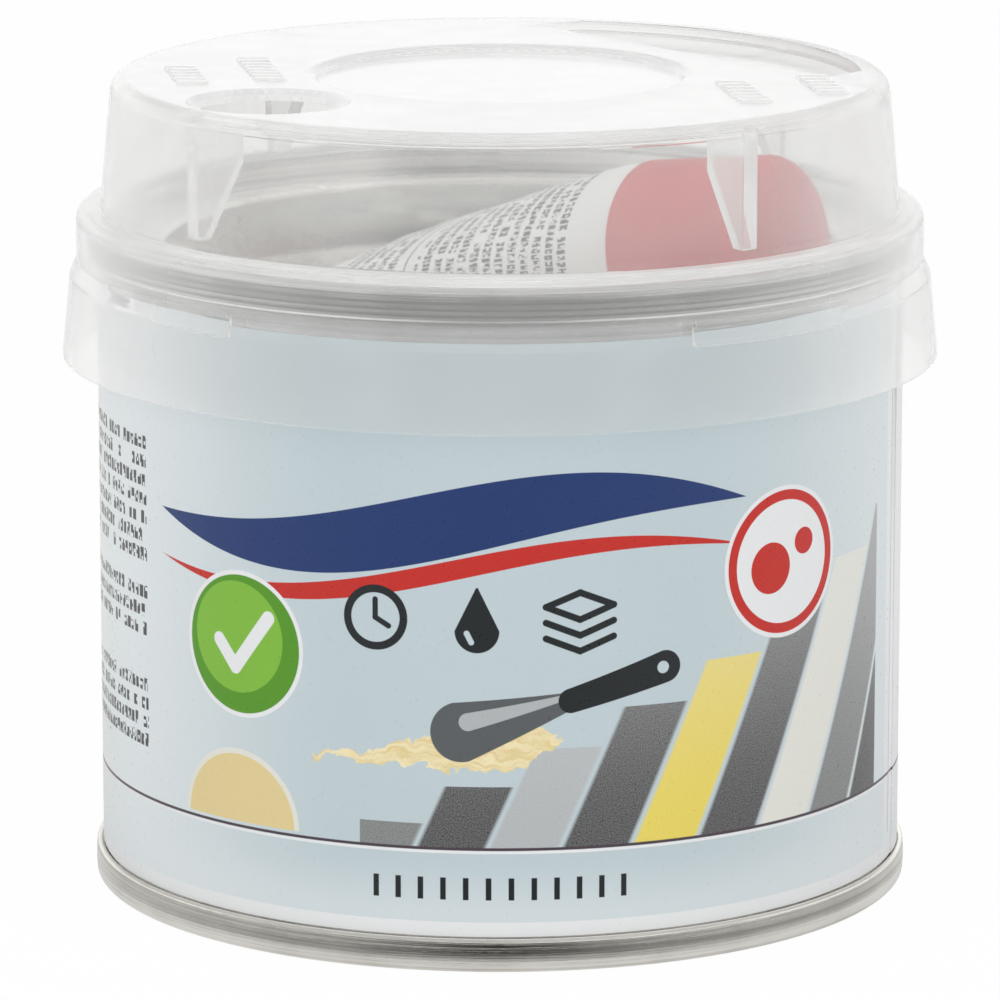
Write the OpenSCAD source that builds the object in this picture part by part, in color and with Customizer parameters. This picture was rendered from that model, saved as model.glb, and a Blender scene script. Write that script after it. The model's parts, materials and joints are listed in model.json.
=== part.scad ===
// Two-component filler tin: a double-seamed tin with a lever lid, a clear push-on mixing cap
// and a small tube of hardener that lies on the lid under the cap.
// Front of the tin is -Y, the standing edge of the lower seam is at Z = 0.

/* [Tin] */
// Outer diameter of the rolled body sheet
body_d = 72.8; // [66:0.1:100]
// Height from the standing edge to the top of the upper seam
can_h = 60.7; // [50:0.1:120]
// Thickness of the tinplate
plate = 0.2; // [0.16:0.01:0.26]
// Height of a double seam
seam_h = 3; // [2.5:0.1:3.6]
// Gap between the folded layers of a seam
seam_gap = 0.03; // [0.02:0.01:0.05]
// Width of the flat on a seam's standing edge
seam_flat = 0.2; // [0.1:0.05:0.4]
// Bulge of a seam's outer wall at the middle of its height
seam_bow = 0.1; // [0.04:0.02:0.14]
// Width of the welded lap that closes the body sheet
weld_w = 1.2; // [0.6:0.1:2]
// Height of the bottom panel's rim above the standing edge
bottom_depth = 4.3; // [3.7:0.1:6]
// Drop of each ring pressed into the bottom panel
bottom_step = 0.5; // [0.2:0.1:0.7]
// Radius of the inner ring in the bottom panel
bottom_ring_in = 17; // [10:0.5:21]
// Radius of the outer ring in the bottom panel
bottom_ring_out = 27; // [24:0.5:29]

/* [Lever lid] */
// Width of the flat land between the upper seam and the mouth
land_w = 5.4; // [4.4:0.1:7]
// Depth of the land below the top of the upper seam
land_depth = 2.7; // [2:0.1:3.2]
// Height of the ring's wall around the mouth
mouth_h = 4.3; // [3.2:0.1:6]
// Radius of the curled edge under the mouth
mouth_curl = 0.6; // [0.5:0.05:0.8]
// Gap between the lid's plug wall and the mouth
lid_clear = 0.15; // [0.08:0.01:0.25]
// Gap under the lid's flange, where a lever goes in
flange_gap = 0.6; // [0.55:0.05:0.9]
// Width of the lid's flange beyond the plug wall
flange_w = 3.1; // [2.4:0.1:3.8]
// Depth of the lid's panel below the flange
lid_depth = 9.2; // [8:0.1:11]
// Width of the groove around the lid's panel
lid_groove_w = 4.4; // [3:0.1:7]
// Depth of the groove around the lid's panel
lid_groove = 0.6; // [0.4:0.1:0.9]

/* [Label and filler] */
// Thickness of the wrap label
label_t = 0.08; // [0.05:0.01:0.12]
// Bare metal left between the label and the upper seam
label_bare = 2; // [1:0.1:6]
// Gap between the label and the lower seam
label_foot = 0.1; // [0.05:0.05:1]
// Angle of the label's overlap, counted from the front to the right
label_lap_at = 77; // [60:1:170]
// Width of the label's overlap
label_lap_w = 8; // [4:0.5:15]
// Height of the filler above the bottom panel's rim
filler_h = 34; // [15:0.5:39]

/* [Mixing cap] */
// Wall of the moulded cap
cap_wall = 1; // [0.8:0.05:1.2]
// Fillet inside the cap's bends
cap_fillet = 0.1; // [0.05:0.05:0.3]
// Gap between the cap's upper skirt and the upper seam
cap_clear = 0.16; // [0.1:0.01:0.3]
// Gap between the cap's shoulder and the upper seam
cap_seat = 0.06; // [0.03:0.01:0.12]
// Width of the shoulder from the skirt in to the dome
shoulder_w = 2.15; // [1.8:0.05:2.6]
// Draft of the dome from its foot to its top
dome_draft = 1.1; // [0.6:0.1:2]
// Rounding along the dome's upper edge
dome_round = 1; // [0.8:0.1:1.6]
// Height of the straight upper skirt below the shoulder
skirt_h = 4.2; // [3.8:0.1:6]
// Height of the step between the upper and the lower skirt
skirt_step_h = 1.55; // [1.2:0.05:2]
// Offset of the step between the upper and the lower skirt
skirt_step = 0.65; // [0.5:0.05:0.9]
// Height of the flared lower skirt
flare_h = 7.15; // [4:0.05:12]
// Outward flare of the lower skirt
flare = 0.7; // [0.5:0.1:2]
// Flat left between the mixing dish in the cap's top and the measuring pocket
dish_gap = 2.7; // [1.5:0.1:7]
// Depth of the mixing dish
dish_depth = 0.7; // [0.6:0.1:1]
// Diameter of the dosing hole
dose_d = 12.8; // [9:0.1:13.4]
// Width of the bevel around the dosing hole
dose_bevel = 0.9; // [0.4:0.1:1.2]
// Rim left between the dosing hole's bevel and the dome's wall
dose_rim = 0.6; // [0.4:0.1:2]
// Width of the measuring pocket, from its straight edge to its rim
pocket_w = 12; // [9:0.1:13]
// Length of the measuring pocket
pocket_len = 41; // [30:1:44]
// Rim left between the measuring pocket and the dome's wall
pocket_rim = 1.4; // [1.2:0.1:3]
// Depth of the measuring pocket
pocket_depth = 1.2; // [0.8:0.1:1.6]
// Number of stations around the cap with a holding lug and a rib
stations = 4; // [3:1:4]
// Angle of the first station, counted from the front to the right
station_at = -51; // [-55:1:-40]
// Angle that one holding lug covers
lug_angle = 26; // [16:1:34]
// Height of a holding lug
lug_h = 2.3; // [1.6:0.1:2.6]
// Thickness of a rib
rib_t = 1.5; // [1:0.1:2]
// Radial depth of a rib under the cap's top
rib_deep = 4.8; // [4:0.1:7]
// Radial depth of a rib at its foot
rib_foot = 1.3; // [1:0.1:3]
// Gap between a rib's foot and the height of the upper seam
rib_lift = 1.5; // [0.2:0.1:2]

/* [Hardener tube] */
// Diameter of the tube's round end
tube_d = 15.4; // [12:0.1:17]
// Wall of the tube
tube_wall = 0.35; // [0.25:0.05:0.5]
// Diameter of the tube's screw cap
tube_cap_d = 16.1; // [12.8:0.1:17.6]
// Length of the tube's screw cap
tube_cap_len = 14; // [11.5:0.1:17]
// Rounding of the screw cap's end
tube_cap_round = 1.5; // [1:0.1:2.5]
// Thickness of the screw cap's end wall
tube_cap_end_t = 1.5; // [1:0.1:2]
// Outer diameter of the nozzle
nozzle_d = 8; // [6:0.1:9]
// Length of the nozzle beyond the tube's end
nozzle_len = 8.6; // [6:0.1:9.5]
// Bore of the nozzle
nozzle_bore = 3.2; // [2:0.1:4]
// Gap between the nozzle and the screw cap
nozzle_clear = 0.15; // [0.1:0.01:0.3]
// Gap between the screw cap and what it meets or lies on
tube_seat = 0.15; // [0.1:0.01:0.3]
// Gap between the tube's ends and the lid's plug wall
tube_end_gap = 1.1; // [0.8:0.1:2.5]
// Distance of the tube's axis behind the tin's axis
tube_offset = 7.9; // [3:0.1:9]
// Turn of the tube, with its cap to the right and towards the front
tube_yaw = 38; // [25:1:50]
// Rise of the tube towards its cap
tube_tilt = 8; // [4:0.5:10]
// Roll of the flat tail, far edge up
tail_roll = 6; // [0:1:10]
// Height of the tail's lower edge above the lid
tail_lift = 2.2; // [1:0.1:3]
// Room between the tube and the underside of the cap
tube_headroom = 5; // [3.4:0.1:9]

/* [Hidden] */
$fn = 96;

// Seam layers, one sheet and one gap apart, counted outwards from the body wall
layer = plate + seam_gap;
wall_r = body_d/2 - plate/2;
chuck_r = wall_r - layer;
cover_hook_r = wall_r + layer;
body_hook_r = wall_r + 2*layer;
seam_wall_r = wall_r + 3*layer;
seam_r = seam_wall_r + seam_bow + plate/2;
// Half height of a seam's outer wall, and the radius of its bulge, which ends clear of the folds
bow_half = (seam_h - plate)/2;
bow_bend = (bow_half - 2*layer)*bow_half/seam_bow;
fold_h = plate/2 + 2*layer;
hook_play = 0.12;
body_hook_tip = seam_h - plate/2 - layer - hook_play;
cover_hook_tip = fold_h + hook_play;

// Heights and radii of the ring and the lever lid
land_z = can_h - land_depth;
mouth_r = chuck_r - land_w;
plug_r = mouth_r - plate - lid_clear;
flange_z = land_z + flange_gap + plate/2;
flange_curl = (flange_gap - lid_clear)/2;
panel_z = flange_z - lid_depth;
panel_top = panel_z + plate/2;
recess_r = plug_r - plate/2;
bend = 0.5;

// Place of the tube: both ends keep their gap to the lid's plug wall
tube_r = tube_d/2;
tube_cap_r = tube_cap_d/2;
flat_half = tube_r*PI/2;
reach = recess_r - tube_end_gap;
tube_cap_end = sqrt(reach*reach - pow(tube_offset + tube_cap_r, 2)) + tube_cap_round;
tail_end = -sqrt(reach*reach - pow(tube_offset + flat_half*cos(tail_roll), 2));
neck_at = tube_cap_end - tube_cap_len*cos(tube_tilt);
neck_z = panel_top + tube_seat + tube_cap_r*cos(tube_tilt);
tail_t = 1;
tail_z = panel_top + tail_lift + flat_half*sin(tail_roll);
tube_top = neck_z + tube_cap_len*sin(tube_tilt) + tube_cap_r*cos(tube_tilt);
// Shares of the tube's length: its round end, the start of the crimp, and the ends of what is inside
round_share = 0.08;
crimp_share = 0.86;
through_share = 0.02;
lead_share = 0.01;
// Powers that shape how the tube flattens and how it spreads on the way to its tail
flatten_power = 0.8;
spread_power = 1.7;
sleeve_rings = 18;
sleeve_sides = 40;
paste_gap = 0.05;

// Radii and heights of the mixing cap's wall, on the middle of the wall
skirt_r = seam_r + cap_clear + cap_wall/2;
shoulder_z = can_h + cap_seat + cap_wall/2;
dome_foot_r = skirt_r - shoulder_w;
dome_top_r = dome_foot_r - dome_draft;
cap_top = tube_top + tube_headroom + cap_wall;
top_z = cap_top - cap_wall/2;
step_z = shoulder_z - skirt_h;
flare_z = step_z - skirt_step_h;
rim_z = flare_z - flare_h;
flare_r = skirt_r + skirt_step;
rib_low = can_h + rib_lift;
rib_straight = tube_top + cap_wall;
bite = 0.3;

// Places of the dosing hole, the measuring pocket and the mixing dish, from the dome's wall inwards
dome_in = dome_top_r - cap_wall/2;
dose_at = dome_in - dose_rim - dose_bevel - dose_d/2;
pocket_edge = dome_in - pocket_rim - pocket_w;
dish_r = pocket_edge - cap_wall - dish_gap;

// Largest turn and longest chord of one step of a bend
bend_angle = 15;
bend_chord = 0.32;

// A point moved by a distance along an angle
function polar(c, r, a) = c + r*[cos(a), sin(a)];
// Direction of the step from one point to the next
function heading(p, q) = atan2(q[1] - p[1], q[0] - p[0]);
// Turn between two headings, from -180 to 180 degrees
function turn(a, b) = ((b - a + 540) % 360) - 180;
// Points of one bend of a sheet's path, shifted to the left by a distance
function bend_points(p, q, s, r, shift) =
    let (a = heading(p, q), k = turn(a, heading(q, s)), side = sign(k),
         back = r*tan(abs(k)/2), start = polar(q, -back, a),
         centre = polar(start, side*r, a + 90), arc = r*abs(k)*PI/180,
         steps = max(2, ceil(abs(k)/bend_angle), ceil(arc/bend_chord)))
    [for (i = [0:steps]) polar(centre, side*(r - side*shift), a + k*i/steps - 90)];
// One side of a sheet that follows a path with a bend radius at each inner corner
function sheet_side(path, radii, shift) =
    let (n = len(path) - 1)
    concat([polar(path[0], shift, heading(path[0], path[1]) + 90)],
           [for (i = [1:n - 1]) each bend_points(path[i - 1], path[i], path[i + 1], radii[i - 1], shift)],
           [polar(path[n], shift, heading(path[n - 1], path[n]) + 90)]);
function reversed(list) = [for (i = [len(list) - 1:-1:0]) list[i]];
// Outline of a sheet of even thickness
function sheet(path, radii, t) =
    concat(sheet_side(path, radii, t/2), reversed(sheet_side(path, radii, -t/2)));

module turned_sheet(path, radii, t) {
    rotate_extrude() polygon(sheet(path, radii, t));
}

// Seam half of an end piece, from its chuck wall out to the tip of its hook, at a standing edge
// at height z that faces up (dir = -1) or down (dir = 1)
function end_seam(z, dir) = [
    [chuck_r, z + dir*plate/2],
    [seam_wall_r, z + dir*plate/2],
    [seam_wall_r + seam_bow, z + dir*seam_h/2],
    [seam_wall_r, z + dir*(seam_h - plate/2)],
    [cover_hook_r, z + dir*(seam_h - plate/2)],
    [cover_hook_r, z + dir*cover_hook_tip]];
end_seam_bends = [2*layer - seam_flat/2, 2*layer - seam_flat/2, bow_bend, layer, layer];

// Body: one sheet rolled to a tube, welded along a lap and flanged into a hook at both ends
module can_body() {
    fold = plate/2 + layer;
    path = [[body_hook_r, body_hook_tip], [body_hook_r, fold], [wall_r, fold],
            [wall_r, can_h - fold], [body_hook_r, can_h - fold], [body_hook_r, can_h - body_hook_tip]];
    color("silver") {
        turned_sheet(path, [layer, layer, layer, layer], plate);
        weld_angle = weld_w/wall_r*180/PI;
        rotate(90 - weld_angle/2) rotate_extrude(angle = weld_angle)
            translate([wall_r - plate, seam_h + bottom_depth])
            square([plate, land_z - mouth_h - seam_h - 2*bottom_depth]);
    }
}

// Bottom panel, dropped in two rings from its rim to its middle
bottom_path = [[0, bottom_depth - 2*bottom_step], [bottom_ring_in - bottom_step, bottom_depth - 2*bottom_step],
               [bottom_ring_in + bottom_step, bottom_depth - bottom_step],
               [bottom_ring_out - bottom_step, bottom_depth - bottom_step],
               [bottom_ring_out + bottom_step, bottom_depth], [chuck_r, bottom_depth]];
bottom_bends = [bend, bend, bend, bend];

// Bottom end: a pressed disc, seamed to the body with its hook folded behind the body's hook
module bottom_end() {
    color("silver")
        turned_sheet(concat(bottom_path, end_seam(0, 1)), concat(bottom_bends, [bend], end_seam_bends), plate);
}

// Sealing compound: a thin ring in the fold of the end's hook
module seam_compound(z, dir) {
    color("dimgray") translate([0, 0, z + dir*(seam_h - plate/2 - layer)])
        rotate_extrude() translate([body_hook_r, 0]) circle(d = plate - seam_gap/2, $fn = 24);
}

module bottom_seam_compound() {
    seam_compound(0, 1);
}

module top_seam_compound() {
    seam_compound(can_h, -1);
}

// Lid ring: seamed to the body, with a flat land and a mouth that is curled outwards underneath
module lid_ring() {
    land_mid = land_z - plate/2;
    mouth_low = land_mid - mouth_h;
    path = concat([[mouth_r + 2*mouth_curl, mouth_low + 2*mouth_curl], [mouth_r + 2*mouth_curl, mouth_low],
                   [mouth_r, mouth_low], [mouth_r, land_mid], [chuck_r, land_mid]], end_seam(can_h, -1));
    color("silver")
        turned_sheet(path, concat([mouth_curl, mouth_curl, bend, bend], end_seam_bends), plate);
}

// Wrap label: a film around the body whose end laps over its start
module label_wrap() {
    label_low = seam_h + label_foot;
    label_h = can_h - seam_h - label_bare - label_low;
    lap_angle = label_lap_w/wall_r*180/PI;
    color("lightblue") {
        rotate_extrude() translate([body_d/2 + seam_gap, label_low]) square([label_t, label_h]);
        rotate(label_lap_at - 90) rotate_extrude(angle = lap_angle)
            translate([body_d/2 + seam_gap + label_t/2, label_low]) square([1.5*label_t, label_h]);
    }
}

// Filler: the paste that fills the lower part of the tin
module filler_paste() {
    floor_side = sheet_side(bottom_path, bottom_bends, plate/2 + paste_gap);
    edge_r = wall_r - plate - paste_gap;
    fill_z = bottom_depth + filler_h;
    last = len(floor_side) - 1;
    outline = concat([for (i = [0:last - 1]) floor_side[i]],
                     [[edge_r, floor_side[last][1]], [edge_r, fill_z], [0, fill_z]]);
    color("tan") rotate_extrude() polygon(outline);
}

// Lever lid: a pressed plug with a curled flange that a lever can lift
module lever_lid() {
    flange_r = plug_r + flange_w;
    groove_r = plug_r - lid_groove_w;
    path = [[0, panel_z], [groove_r - lid_groove/2, panel_z], [groove_r + lid_groove/2, panel_z - lid_groove],
            [plug_r, panel_z - lid_groove], [plug_r, flange_z], [flange_r, flange_z],
            [flange_r, flange_z - 2*flange_curl], [flange_r - 2*flange_curl, flange_z - 2*flange_curl]];
    color("lightgray")
        turned_sheet(path, [bend, bend, bend, bend, flange_curl, flange_curl], plate);
}

// Half height and half width of the tube between its round end (u = 0) and its tail (u = 1)
function tube_rise(u) =
    let (w = max(0, u - round_share)/(1 - round_share))
    min(tube_r, tube_r*pow(1 - w, flatten_power) + tail_t/2*w);
function tube_spread(u) = tube_r*(PI/2 - (PI/2 - 1)*pow(tube_rise(u)/tube_r, spread_power));
// One ring of the tube at a distance inside its outer skin, in the tube's own frame
function tube_ring(u, inset) =
    let (c = [(tail_end - neck_at)*u, 0, (tail_z - neck_z)*u], a = tube_rise(u) - inset,
         b = tube_spread(u) - inset, lean = tube_tilt*(1 - u), roll = tail_roll*u)
    [for (j = [0:sleeve_sides - 1])
        let (t = 360*j/sleeve_sides, y = b*cos(t), z = a*sin(t))
        c + [-z*sin(lean), y*cos(roll) - z*sin(roll), z*cos(lean)*cos(roll) + y*sin(roll)]];
// Faces of a closed loft through n rings with the same number of sides
function loft_faces(n, sides) = concat(
    [[for (j = [sides - 1:-1:0]) j]],
    [for (i = [0:n - 2], j = [0:sides - 1], half = [0, 1])
        let (k = (j + 1) % sides, low = i*sides, up = low + sides)
        half == 0 ? [low + j, up + k, up + j] : [low + j, low + k, up + k]],
    [[for (j = [0:sides - 1]) (n - 1)*sides + j]]);

module tube_place() {
    translate([0, 0, neck_z]) rotate(-tube_yaw) translate([neck_at, tube_offset, 0]) children();
}

module tube_turned() {
    tube_place() rotate([0, 90 - tube_tilt, 0]) rotate_extrude() children();
}

// A loft along the tube from one share of its length to another
module tube_loft(from, to, inset) {
    shares = [for (i = [0:sleeve_rings]) from + (to - from)*i/sleeve_rings];
    points = [for (u = shares) each tube_ring(u, inset)];
    polyhedron(points, loft_faces(sleeve_rings + 1, sleeve_sides), convexity = 4);
}

// Tube sleeve: a thin tube that goes from its round shoulder to a flat crimped tail
module tube_sleeve() {
    color("white") tube_place() difference() {
        tube_loft(0, 1, 0);
        tube_loft(-through_share, crimp_share, tube_wall);
    }
}

// Shoulder: closes the tube's round end and carries the nozzle
shoulder_deep = 2;
shoulder_r = tube_r - tube_wall - paste_gap;
module tube_shoulder() {
    color("ivory") tube_turned() polygon([
        [nozzle_bore/2, -shoulder_deep], [shoulder_r, -shoulder_deep], [shoulder_r, 0],
        [nozzle_d/2, shoulder_deep/2], [nozzle_d/2, nozzle_len], [nozzle_bore/2, nozzle_len]]);
}

// Membrane: the foil that seals the nozzle until it is pierced
membrane_t = 0.1;
module nozzle_membrane() {
    color("silver") tube_turned()
        translate([0, nozzle_len + paste_gap]) square([nozzle_d/2 - nozzle_clear, membrane_t]);
}

// Hardener: the paste inside the tube, up to the shoulder
module hardener_paste() {
    start_share = (shoulder_deep + paste_gap)/(neck_at - tail_end) + lead_share;
    color("firebrick") tube_place()
        tube_loft(start_share, crimp_share - through_share, tube_wall + paste_gap);
}

// Screw cap: a moulded shell with a threaded sleeve for the nozzle inside
module tube_cap() {
    shell = cap_wall;
    sleeve_in = nozzle_d/2 + nozzle_clear;
    bore_end = nozzle_len + paste_gap + membrane_t + nozzle_clear;
    cavity_end = tube_cap_len - tube_cap_end_t;
    foot = shoulder_deep/2 + tube_seat;
    color("firebrick") tube_turned() difference() {
        union() {
            translate([0, tube_seat]) square([tube_cap_r, tube_cap_len - tube_cap_round - tube_seat]);
            square_end = tube_cap_len - tube_cap_round;
            translate([0, tube_seat]) square([tube_cap_r - tube_cap_round, tube_cap_len - tube_seat]);
            intersection() {
                translate([tube_cap_r - tube_cap_round, square_end]) circle(r = tube_cap_round, $fn = 48);
                square([tube_cap_r, tube_cap_len]);
            }
        }
        square([sleeve_in, bore_end]);
        square([tube_cap_r - shell, foot]);
        translate([sleeve_in + shell, 0]) square([tube_cap_r - 2*shell - sleeve_in, cavity_end]);
    }
}

// One rib under the cap's top, in the plane of a radius
module rib() {
    rotate([90, 0, 0]) translate([0, 0, -rib_t/2]) linear_extrude(rib_t) polygon([
        [dome_in, top_z], [dome_in - rib_deep, top_z], [dome_in - rib_deep, rib_straight],
        [dome_in - rib_foot, rib_low], [dome_in, rib_low]]);
}

// One holding lug inside the lower skirt, just under the upper seam
module lug() {
    rotate(-lug_angle/2) rotate_extrude(angle = lug_angle)
        translate([skirt_r - cap_wall/2, step_z + bite - lug_h]) square([skirt_step + cap_wall/2, lug_h]);
}

// Plan of the measuring pocket, with its outline grown by a distance
module pocket_plan(grow) {
    intersection() {
        circle(dome_in - pocket_rim + grow);
        translate([pocket_edge - grow, -body_d]) square(2*body_d);
        translate([pocket_edge, 0]) circle(pocket_len/2 + grow);
    }
}

// Mixing cap: moulded in one piece, with a dish to mix in, a dosing hole and a measuring pocket
module mixing_cap() {
    dish_slope = dish_depth/2;
    path = [[0, top_z - dish_depth], [dish_r - dish_slope, top_z - dish_depth], [dish_r, top_z],
            [dome_top_r, top_z], [dome_foot_r, shoulder_z], [skirt_r, shoulder_z], [skirt_r, step_z],
            [flare_r, flare_z], [flare_r + flare, rim_z]];
    cap_bend = cap_wall/2 + cap_fillet;
    radii = [cap_wall/2, cap_wall/2, dome_round, cap_bend, cap_bend, cap_bend, cap_bend];
    color("whitesmoke", 0.4) difference() {
        union() {
            turned_sheet(path, radii, cap_wall);
            for (i = [0:stations - 1]) rotate(station_at - 90 + 360*i/stations) {
                rib();
                lug();
            }
            rotate(station_at + 90) translate([0, 0, cap_top - pocket_depth - cap_wall])
                linear_extrude(pocket_depth + cap_wall/2) pocket_plan(cap_wall);
        }
        rotate(station_at - 90) translate([dose_at, 0, cap_top - cap_wall]) {
            translate([0, 0, -bite]) cylinder(d = dose_d, h = 2*cap_wall);
            cylinder(d1 = dose_d, d2 = dose_d + 2*dose_bevel, h = cap_wall);
            translate([0, 0, cap_wall]) cylinder(d = dose_d + 2*dose_bevel, h = cap_wall);
        }
        rotate(station_at + 90) translate([0, 0, cap_top - pocket_depth])
            linear_extrude(2*pocket_depth) pocket_plan(0);
    }
}

can_body();
bottom_end();
bottom_seam_compound();
lid_ring();
top_seam_compound();
label_wrap();
filler_paste();
lever_lid();
tube_sleeve();
tube_shoulder();
nozzle_membrane();
hardener_paste();
tube_cap();
mixing_cap();
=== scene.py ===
import json
import math

import bmesh
import bpy
from mathutils import Matrix, Vector


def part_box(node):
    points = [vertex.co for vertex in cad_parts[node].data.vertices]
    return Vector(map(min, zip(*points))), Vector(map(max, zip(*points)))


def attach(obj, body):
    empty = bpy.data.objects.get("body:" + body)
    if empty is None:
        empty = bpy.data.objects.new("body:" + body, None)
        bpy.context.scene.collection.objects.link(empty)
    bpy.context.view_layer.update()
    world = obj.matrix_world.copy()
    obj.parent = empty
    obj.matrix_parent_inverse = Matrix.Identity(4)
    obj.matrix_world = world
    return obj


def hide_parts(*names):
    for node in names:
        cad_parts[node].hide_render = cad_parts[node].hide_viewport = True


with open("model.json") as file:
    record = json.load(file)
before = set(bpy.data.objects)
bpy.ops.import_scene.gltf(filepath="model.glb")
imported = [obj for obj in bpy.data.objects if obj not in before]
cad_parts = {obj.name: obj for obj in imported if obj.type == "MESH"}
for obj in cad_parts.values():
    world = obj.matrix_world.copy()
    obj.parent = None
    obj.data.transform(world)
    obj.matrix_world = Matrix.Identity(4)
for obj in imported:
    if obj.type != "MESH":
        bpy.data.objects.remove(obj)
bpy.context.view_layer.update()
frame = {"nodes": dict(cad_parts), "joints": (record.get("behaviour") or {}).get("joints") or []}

# Tin body, bottom end and lid ring
# Thin steel sheet with a bright tin coat. The body is rolled and welded, and both ends are folded over
# its edges into double seams. The seams keep dull marks of the seaming rolls. Pale painted highlights lie on
# the lower edge of the upper seam and on the wall of the ring's mouth.
MM = 0.001
cad = frame["nodes"]
tin_r = 36.0
tin_warm, tin_warm_dull = (0.9, 0.88, 0.82, 1), (0.6, 0.58, 0.53, 1)
tin_cool, tin_cool_dull = (0.87, 0.865, 0.855, 1), (0.5, 0.5, 0.495, 1)
# A pale matt colour that paints highlights on the seams and the lid.
tin_highlight_pale = (0.95, 0.94, 0.91, 1)


def finish_named(name):
    """A new material: the material, its node tree and its main shader."""
    mat = bpy.data.materials.new(name)
    mat.use_nodes = True
    return mat, mat.node_tree, mat.node_tree.nodes["Principled BSDF"]


def feed(tree, socket, value):
    """Links a socket to another, or sets it to a plain value."""
    if isinstance(value, bpy.types.NodeSocket):
        tree.links.new(value, socket)
    else:
        socket.default_value = value


def calc(tree, operation, *values, clamp=False):
    """A sum with numbers."""
    node = tree.nodes.new("ShaderNodeMath")
    node.operation = operation
    node.use_clamp = clamp
    for socket, value in zip(node.inputs, values):
        feed(tree, socket, value)
    return node.outputs[0]


def vector_calc(tree, operation, *values):
    """A sum with vectors; lengths, distances and dot products come back as a number."""
    node = tree.nodes.new("ShaderNodeVectorMath")
    node.operation = operation
    for socket, value in zip(node.inputs, values):
        feed(tree, socket, value)
    number = operation in ("LENGTH", "DISTANCE", "DOT_PRODUCT")
    return node.outputs["Value" if number else "Vector"]


def within(tree, *masks):
    """Full where all the masks are full."""
    shared = masks[0]
    for mask in masks[1:]:
        shared = calc(tree, "MULTIPLY", shared, mask)
    return shared


def place_on(tree, stretch=(1, 1, 1)):
    """Where a point lies on the piece, stretched along each axis."""
    here = tree.nodes.new("ShaderNodeTexCoord").outputs["Object"]
    return vector_calc(tree, "MULTIPLY", here, stretch)


def place_in_mm(tree):
    """Where a point lies on the piece, in mm."""
    return place_on(tree, (1 / MM, 1 / MM, 1 / MM))


def joined(tree, x, y, z=0.0):
    """Three numbers as one vector."""
    node = tree.nodes.new("ShaderNodeCombineXYZ")
    for socket, value in zip(node.inputs, (x, y, z)):
        feed(tree, socket, value)
    return node.outputs[0]


def parted(tree, vector):
    """The three numbers of a vector."""
    node = tree.nodes.new("ShaderNodeSeparateXYZ")
    tree.links.new(vector, node.inputs[0])
    return node.outputs


def turn_from_front(tree, x, y):
    """The angle round the upright axis, from the front, positive to the right."""
    return calc(tree, "ARCTAN2", x, calc(tree, "MULTIPLY", y, -1.0))


def round_the_axis(tree, radius):
    """How far round from the front, how high and how far from the tin's axis a point lies, in mm."""
    x, y, z = parted(tree, place_in_mm(tree))
    turn = turn_from_front(tree, x, y)
    out = vector_calc(tree, "LENGTH", joined(tree, x, y))
    return calc(tree, "MULTIPLY", turn, radius), z, out


def grain(tree, where, scale, detail=2.0, rough=0.5):
    """A soft random pattern from 0 to 1."""
    node = tree.nodes.new("ShaderNodeTexNoise")
    feed(tree, node.inputs["Vector"], where)
    node.inputs["Scale"].default_value = scale
    node.inputs["Detail"].default_value = detail
    node.inputs["Roughness"].default_value = rough
    return node.outputs["Fac"]


def spread(tree, value, low, high, to_low=0.0, to_high=1.0):
    """Moves a value from one range to another with soft ends."""
    node = tree.nodes.new("ShaderNodeMapRange")
    node.interpolation_type = "SMOOTHSTEP"
    for socket, number in zip(node.inputs, (value, low, high, to_low, to_high)):
        feed(tree, socket, number)
    return node.outputs[0]


def mixed(tree, share, first, second):
    """A colour between two colours."""
    node = tree.nodes.new("ShaderNodeMix")
    node.data_type = "RGBA"
    feed(tree, node.inputs["Factor"], share)
    feed(tree, node.inputs["A"], first)
    feed(tree, node.inputs["B"], second)
    return node.outputs["Result"]


def bumped(tree, shader, height, depth, strength=1.0):
    """Gives a shader a relief of a depth in metres."""
    node = tree.nodes.new("ShaderNodeBump")
    node.inputs["Strength"].default_value = strength
    node.inputs["Distance"].default_value = depth
    feed(tree, node.inputs["Height"], height)
    tree.links.new(node.outputs["Normal"], shader.inputs["Normal"])


def dulled_by_rolls(tree, high, out, marks):
    """Narrow dull rings at given heights, on the outside of the upper seam only."""
    mark_half, mark_soft = 0.06, 0.11
    inner_r, outer_r = 36.5, 36.9
    dull = 0.0
    for mark in marks:
        off = calc(tree, "ABSOLUTE", calc(tree, "SUBTRACT", high, mark))
        ring = spread(tree, off, mark_half + mark_soft, mark_half)
        dull = calc(tree, "MAXIMUM", dull, within(tree, ring, spread(tree, out, inner_r, outer_r)))
    return dull


def painted_highlight_bands(tree, turn, high, out, streaks, bands):
    """Painted highlights: bands of pale matt colour, each with its radii, heights, soft edge and share.
    They fade towards the front and the back of the tin and follow the streaks of the sheet."""
    side_soft = 0.2
    front_fade, back_fade = (2.0, 14.0, 0.3), (109.0, 99.0, 0.2)
    painted_highlight = 0.0
    for (r_low, r_high), (z_low, z_high), soft, share in bands:
        there = within(
            tree,
            spread(tree, out, r_low - side_soft, r_low, 0.0, share),
            spread(tree, out, r_high + side_soft, r_high),
            spread(tree, high, z_low - soft, z_low),
            spread(tree, high, z_high + soft, z_high),
        )
        painted_highlight = calc(tree, "MAXIMUM", painted_highlight, there)
    aside = calc(tree, "ABSOLUTE", turn)
    for fade_from, fade_to, least in (front_fade, back_fade):
        painted_highlight = calc(tree, "MULTIPLY", painted_highlight, spread(tree, aside, fade_from, fade_to, least, 1.0))
    return calc(tree, "MULTIPLY", painted_highlight, spread(tree, streaks, 0.35, 0.65, 1.0, 0.6), clamp=True)


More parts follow.
